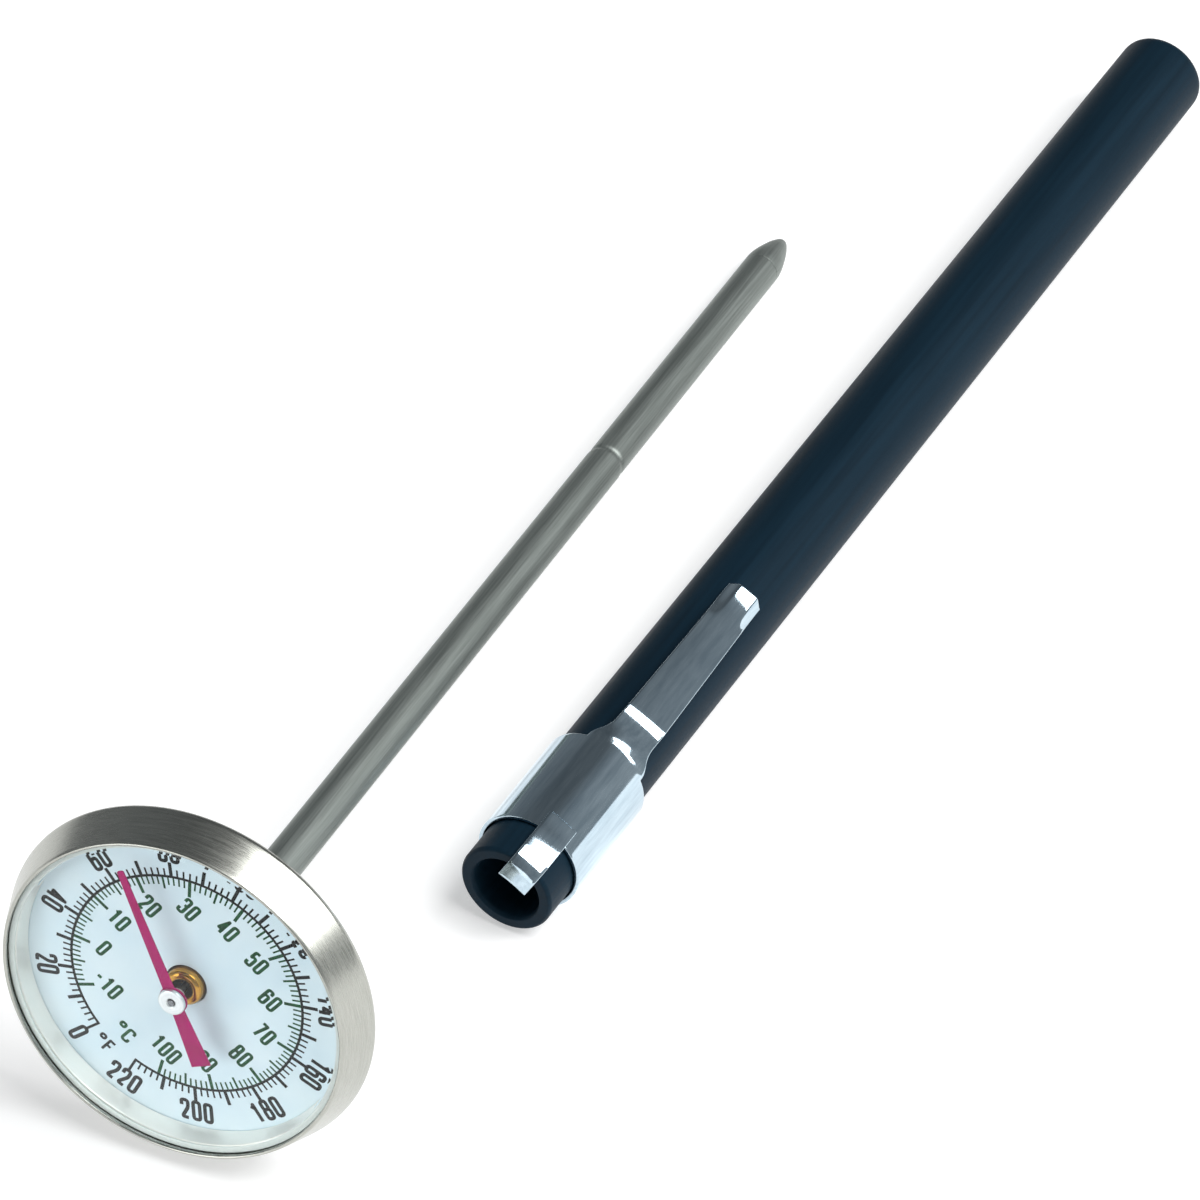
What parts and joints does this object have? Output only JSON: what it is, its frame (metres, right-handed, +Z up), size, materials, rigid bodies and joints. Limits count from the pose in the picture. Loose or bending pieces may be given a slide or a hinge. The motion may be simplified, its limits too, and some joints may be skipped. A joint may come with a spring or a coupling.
{
  "type": "dial thermometer",
  "caption": "Pocket bimetal thermometer with a round dial on a pointed steel stem, and its plastic sheath with a spring pocket clip lying beside it.",
  "frame": {"origin": "centre of the bounding box at its lowest level, which is the resting surface", "axes": "+Y along the sheath from its mouth to its closed end, +Z up, the dial faces -Y"},
  "size_m": [0.0342, 0.1692, 0.0341],
  "materials": {
    "stainless_satin": "satin, drawn and tumbled",
    "gasket_rubber": "matt",
    "dial_enamel": "satin white print ground",
    "aluminium_bright": "bright",
    "clear_gasket": "satin",
    "lens_acrylic": "clear, gloss",
    "brass": "turned",
    "spring_steel": "bright",
    "nickel_plated_steel": "nickel plated, gloss",
    "bimetal": "rolled",
    "hub_aluminium": "turned",
    "pointer_lacquer": "satin lacquer",
    "sheath_plastic": "moulded, satin"
  },
  "bodies": {
    "stem": {"stem_tube": "stainless_satin", "stem_tip": "stainless_satin", "bushing": "brass", "friction_washer": "spring_steel", "calibration_nut": "nickel_plated_steel", "staff_guide_upper": "brass", "staff_guide_lower": "brass", "bimetal_coil": "bimetal", "coil_anchor": "spring_steel"},
    "case": {"bezel": "stainless_satin", "case_back": "stainless_satin", "dial_seat_gasket": "gasket_rubber", "dial_plate": "dial_enamel", "spacer_ring": "aluminium_bright", "lens_gasket": "clear_gasket", "lens": "lens_acrylic"},
    "pointer": {"staff": "spring_steel", "coil_collar": "spring_steel", "pointer_hub": "hub_aluminium", "pointer": "pointer_lacquer"},
    "sheath": {"sheath_tube": "sheath_plastic", "clip_band": "nickel_plated_steel"},
    "clip_arm": {"clip_arm": "nickel_plated_steel"}
  },
  "joints": [
    {"name": "pointer_turn", "type": "hinge", "parent": "stem", "child": "pointer", "pos_m": [0.00005, -0.07898, 0.01714], "axis": [-0.0818, 0.9889, -0.1244], "range_deg": [-106.9, 229.2], "stiffness_Nm_per_rad": 0.00005},
    {"name": "dial_calibration", "type": "hinge", "parent": "stem", "child": "case", "pos_m": [0.00005, -0.07898, 0.01714], "axis": [-0.0818, 0.9889, -0.1244], "range_deg": [-20, 20]},
    {"name": "sheath_slide", "type": "slide", "parent": "stem", "child": "sheath", "axis": [0, 1, 0], "range_m": [0, 0.13]},
    {"name": "clip_flex", "type": "hinge", "parent": "sheath", "child": "clip_arm", "pos_m": [0.01421, -0.02904, 0.00917], "axis": [0.866, 0, -0.5], "range_deg": [0, 8], "stiffness_Nm_per_rad": 0.2}
  ]
}
